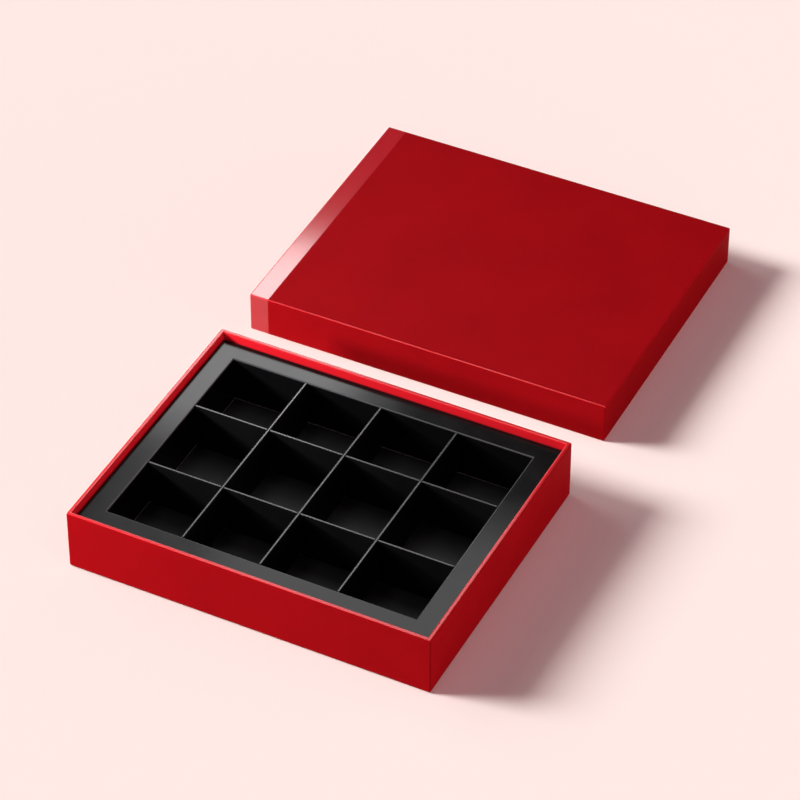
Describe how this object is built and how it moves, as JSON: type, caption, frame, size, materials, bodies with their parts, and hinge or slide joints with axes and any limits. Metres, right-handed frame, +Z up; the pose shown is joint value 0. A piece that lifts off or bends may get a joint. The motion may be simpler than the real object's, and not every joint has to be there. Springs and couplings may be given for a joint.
{
  "type": "lid and base box",
  "caption": "Rigid two-piece gift box in red wrapped board: open base with a slotted card divider insert, and its shallower telescoping lid laid beside it.",
  "frame": {"origin": "centre of the base box's underside, on the surface that it stands on", "axes": "+X along the box's length to its right end, +Y from the base towards the lid beside it, +Z up, the way the lid and the insert lift"},
  "size_m": [0.2086, 0.3707, 0.035],
  "materials": {
    "greyboard": "matt",
    "kraft_tape": "matt",
    "red_paper": "satin laminate",
    "gloss_red_paper": "gloss laminate",
    "lining_paper": "matt",
    "black_card": "satin",
    "divider_card": "satin"
  },
  "bodies": {
    "base": {"base_board": "greyboard", "base_corner_stay_back_right": "kraft_tape", "base_corner_stay_back_left": "kraft_tape", "base_corner_stay_front_left": "kraft_tape", "base_corner_stay_front_right": "kraft_tape", "base_wrap": "red_paper", "base_underside_sheet": "lining_paper", "base_floor_liner": "lining_paper"},
    "lid": {"lid_board": "greyboard", "lid_corner_stay_back_right": "kraft_tape", "lid_corner_stay_back_left": "kraft_tape", "lid_corner_stay_front_left": "kraft_tape", "lid_corner_stay_front_right": "kraft_tape", "lid_wrap": "red_paper", "lid_end_band": "gloss_red_paper", "lid_liner": "lining_paper"},
    "insert": {"insert_platform": "black_card", "insert_floor": "black_card"},
    "lattice": {"long_divider_front": "divider_card", "long_divider_back": "divider_card"},
    "cross_left": {"cross_divider_left": "divider_card"},
    "cross_middle": {"cross_divider_middle": "divider_card"},
    "cross_right": {"cross_divider_right": "divider_card"}
  },
  "joints": [
    {"name": "lid_lift", "type": "slide", "parent": "base", "child": "lid", "axis": [0, 0, 1], "range_m": [0, 0.06]},
    {"name": "insert_lift", "type": "slide", "parent": "base", "child": "insert", "axis": [0, 0, 1], "range_m": [0, 0.045]},
    {"name": "lattice_lift", "type": "slide", "parent": "insert", "child": "lattice", "axis": [0, 0, 1], "range_m": [0, 0.035]},
    {"name": "cross_left_lift", "type": "slide", "parent": "lattice", "child": "cross_left", "axis": [0, 0, 1], "range_m": [0, 0.035]},
    {"name": "cross_middle_lift", "type": "slide", "parent": "lattice", "child": "cross_middle", "axis": [0, 0, 1], "range_m": [0, 0.035]},
    {"name": "cross_right_lift", "type": "slide", "parent": "lattice", "child": "cross_right", "axis": [0, 0, 1], "range_m": [0, 0.035]}
  ]
}
